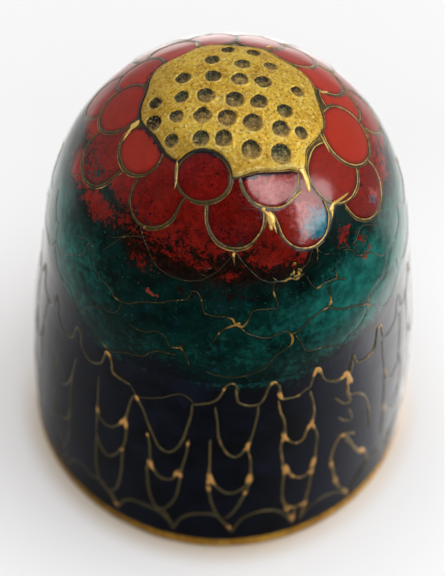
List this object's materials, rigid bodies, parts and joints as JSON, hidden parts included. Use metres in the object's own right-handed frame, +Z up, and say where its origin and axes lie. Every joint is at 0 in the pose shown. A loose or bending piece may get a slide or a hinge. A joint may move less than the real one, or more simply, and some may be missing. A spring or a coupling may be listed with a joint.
{
  "type": "thimble",
  "caption": "Domed cloisonne sewing thimble with a dimpled gilt crown, red fish-scale petals, a green band, a dark blue wall with wire chains and a thin brass rim.",
  "frame": {"origin": "centre of the base rim's resting face", "axes": "+Z up along the thimble's axis, from the open mouth to the crown; -Y is the front, the side with the bitten edge of the crown plate"},
  "size_m": [0.0192, 0.0192, 0.024],
  "materials": {
    "gilt": "worn gilding, pitted",
    "wires": "polished, darkened",
    "copper": "plain drawn copper, hidden under enamel",
    "red_enamel": "glossy",
    "mixed_enamel": "glossy, red specks over dark green",
    "teal_enamel": "glossy",
    "navy_enamel": "glossy",
    "lining_enamel": "satin"
  },
  "bodies": {
    "root": {"chain_wire_01": "wires", "chain_wire_02": "wires", "chain_wire_03": "wires", "chain_wire_04": "wires", "chain_wire_05": "wires", "chain_wire_06": "wires", "chain_wire_07": "wires", "chain_wire_08": "wires", "chain_wire_09": "wires", "chain_wire_10": "wires", "chain_wire_11": "wires", "chain_wire_12": "wires", "chain_wire_13": "wires", "chain_wire_14": "wires", "chain_wire_15": "wires", "chain_wire_16": "wires", "chain_wire_17": "wires", "chain_wire_18": "wires", "cloud_wire_lower": "wires", "cloud_wire_upper": "wires", "copper_cup": "copper", "counter_enamel": "lining_enamel", "crown_plate": "gilt", "festoon_wire": "wires", "inner_petal_01": "red_enamel", "inner_petal_02": "red_enamel", "inner_petal_03": "red_enamel", "inner_petal_04": "red_enamel", "inner_petal_05": "red_enamel", "inner_petal_06": "red_enamel", "inner_petal_07": "red_enamel", "inner_petal_08": "red_enamel", "inner_petal_09": "red_enamel", "inner_petal_10": "red_enamel", "inner_petal_11": "red_enamel", "inner_petal_12": "red_enamel", "inner_petal_13": "red_enamel", "loop_wire": "wires", "navy_enamel": "navy_enamel", "outer_petal_01": "red_enamel", "outer_petal_02": "red_enamel", "outer_petal_03": "red_enamel", "outer_petal_04": "red_enamel", "outer_petal_05": "red_enamel", "outer_petal_06": "red_enamel", "outer_petal_07": "red_enamel", "outer_petal_08": "red_enamel", "outer_petal_09": "red_enamel", "outer_petal_10": "red_enamel", "petal_wires": "wires", "red_green_enamel": "mixed_enamel", "rim_ring": "gilt", "scale_wire": "wires", "teal_enamel": "teal_enamel"}
  },
  "joints": []
}
